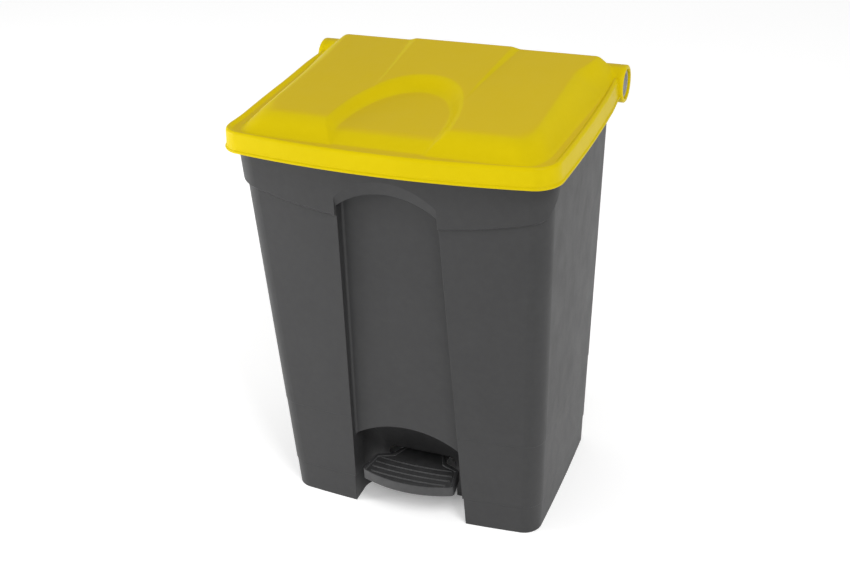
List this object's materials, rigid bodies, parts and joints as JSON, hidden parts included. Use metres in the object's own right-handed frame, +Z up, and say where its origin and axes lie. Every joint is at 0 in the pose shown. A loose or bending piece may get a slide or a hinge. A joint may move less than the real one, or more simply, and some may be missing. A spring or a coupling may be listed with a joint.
{
  "type": "pedal bin",
  "caption": "Free-standing moulded pedal bin: tapered tub with a front foot niche, hinged lid with a hand scoop, and a pedal lever that lifts the lid with a push rod.",
  "frame": {"origin": "on the floor, under the centre of the bin's bounding box", "axes": "+X right seen from the front, +Y towards the hinge at the back, +Z up"},
  "size_m": [0.505, 0.41, 0.675],
  "materials": {
    "tub_plastic": "fine-grained moulded polypropylene, dark grey",
    "cover_plastic": "fine-grained moulded polypropylene, dark grey",
    "lid_plastic": "satin moulded polypropylene, yellow",
    "pedal_plastic": "moulded polypropylene, dark grey, ribbed tread",
    "pin_plastic": "moulded acetal, light grey",
    "guide_plastic": "moulded acetal, off-white",
    "zinc_steel": "zinc-plated pressed steel",
    "bright_steel": "drawn steel rod",
    "screw_steel": "zinc-plated screws"
  },
  "bodies": {
    "tub_body": {"tub": "tub_plastic", "hinge_pin_left": "pin_plastic", "hinge_pin_right": "pin_plastic", "rod_guide_lower": "guide_plastic", "rod_guide_upper": "guide_plastic", "rod_cover": "cover_plastic", "cover_screws": "screw_steel", "guide_screws": "screw_steel", "pedal_axle": "bright_steel", "axle_clips": "screw_steel", "pedal_bracket_left": "zinc_steel", "pedal_bracket_right": "zinc_steel", "bracket_screws": "screw_steel"},
    "lid_body": {"lid": "lid_plastic", "lid_lifting_lug": "guide_plastic", "lug_screws": "screw_steel"},
    "rod_body": {"push_rod": "bright_steel", "rod_cap": "guide_plastic", "rod_foot": "guide_plastic"},
    "lever_body": {"pedal": "pedal_plastic", "lever_bar_left": "zinc_steel", "lever_bar_right": "zinc_steel", "lever_screws": "screw_steel", "lift_pin": "bright_steel", "lift_pin_sleeve": "guide_plastic", "pivot_bushes": "guide_plastic"}
  },
  "joints": [
    {"name": "lid_hinge", "type": "hinge", "parent": "tub_body", "child": "lid_body", "pos_m": [0, 0.1767, 0.6247], "axis": [-1, 0, 0], "range_deg": [0, 76]},
    {"name": "pedal_pivot", "type": "hinge", "parent": "tub_body", "child": "lever_body", "pos_m": [0, 0.002, 0.046], "axis": [1, 0, 0], "range_deg": [0, 13.15]},
    {"name": "push_rod_slide", "type": "slide", "parent": "tub_body", "child": "rod_body", "axis": [0, 0, 1], "range_m": [0, 0.03448]}
  ],
  "couplings": [
    {"joint": "pedal_pivot", "follows": "lid_hinge", "ratio": 0.17298},
    {"joint": "push_rod_slide", "follows": "lid_hinge", "m_per_rad": 0.025992}
  ]
}
